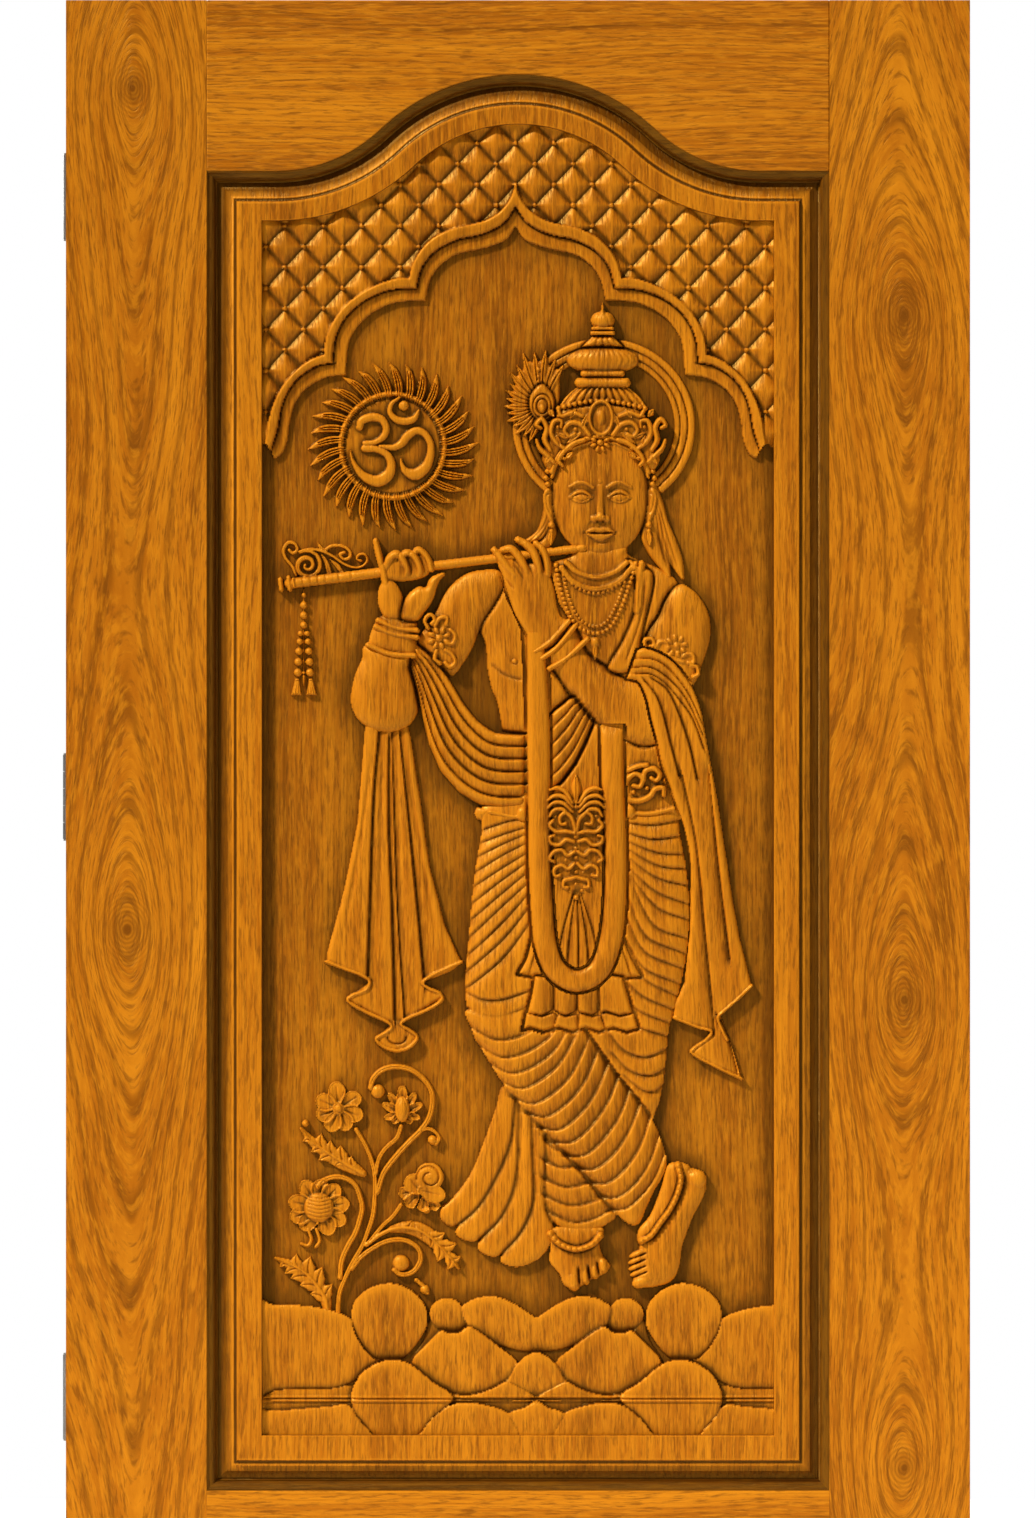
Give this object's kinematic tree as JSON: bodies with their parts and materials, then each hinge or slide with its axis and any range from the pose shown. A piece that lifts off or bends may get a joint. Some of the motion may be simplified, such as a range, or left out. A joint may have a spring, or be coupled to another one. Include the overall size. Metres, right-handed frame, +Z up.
{
  "type": "carved temple door",
  "caption": "Hardwood door leaf: stile-and-rail frame around an arched panel carved in relief with a flute-playing temple figure, hung on butt hinges that swing it open.",
  "frame": {"origin": "centre of the leaf's bottom edge, at mid-thickness", "axes": "+Z up the leaf, +X towards the closing edge, +Y from the carved front to the back; the carved face looks along -Y"},
  "size_m": [1.0725, 0.0555, 1.981],
  "materials": {
    "frame_wood": "satin varnish",
    "panel_wood": "satin varnish, darker stain in the carving",
    "moulding_wood": "satin varnish, darker stain",
    "hinge_steel": "brushed steel"
  },
  "bodies": {
    "jamb_side": {"top_hinge_jamb_flap": "hinge_steel", "top_hinge_pin": "hinge_steel", "middle_hinge_jamb_flap": "hinge_steel", "middle_hinge_pin": "hinge_steel", "bottom_hinge_jamb_flap": "hinge_steel", "bottom_hinge_pin": "hinge_steel"},
    "leaf": {"left_stile": "frame_wood", "right_stile": "frame_wood", "top_rail": "frame_wood", "bottom_rail": "frame_wood", "carved_panel": "panel_wood", "front_moulding_left": "moulding_wood", "front_moulding_right": "moulding_wood", "front_moulding_arch": "moulding_wood", "front_moulding_foot": "moulding_wood", "back_bead_left": "moulding_wood", "back_bead_right": "moulding_wood", "back_bead_arch": "moulding_wood", "back_bead_foot": "moulding_wood", "top_hinge_leaf_flap": "hinge_steel", "top_hinge_screws": "hinge_steel", "middle_hinge_leaf_flap": "hinge_steel", "middle_hinge_screws": "hinge_steel", "bottom_hinge_leaf_flap": "hinge_steel", "bottom_hinge_screws": "hinge_steel"}
  },
  "joints": [
    {"name": "leaf_swing", "type": "hinge", "parent": "jamb_side", "child": "leaf", "pos_m": [-0.5325, 0.027, 0], "axis": [0, 0, 1], "range_deg": [0, 110]}
  ]
}
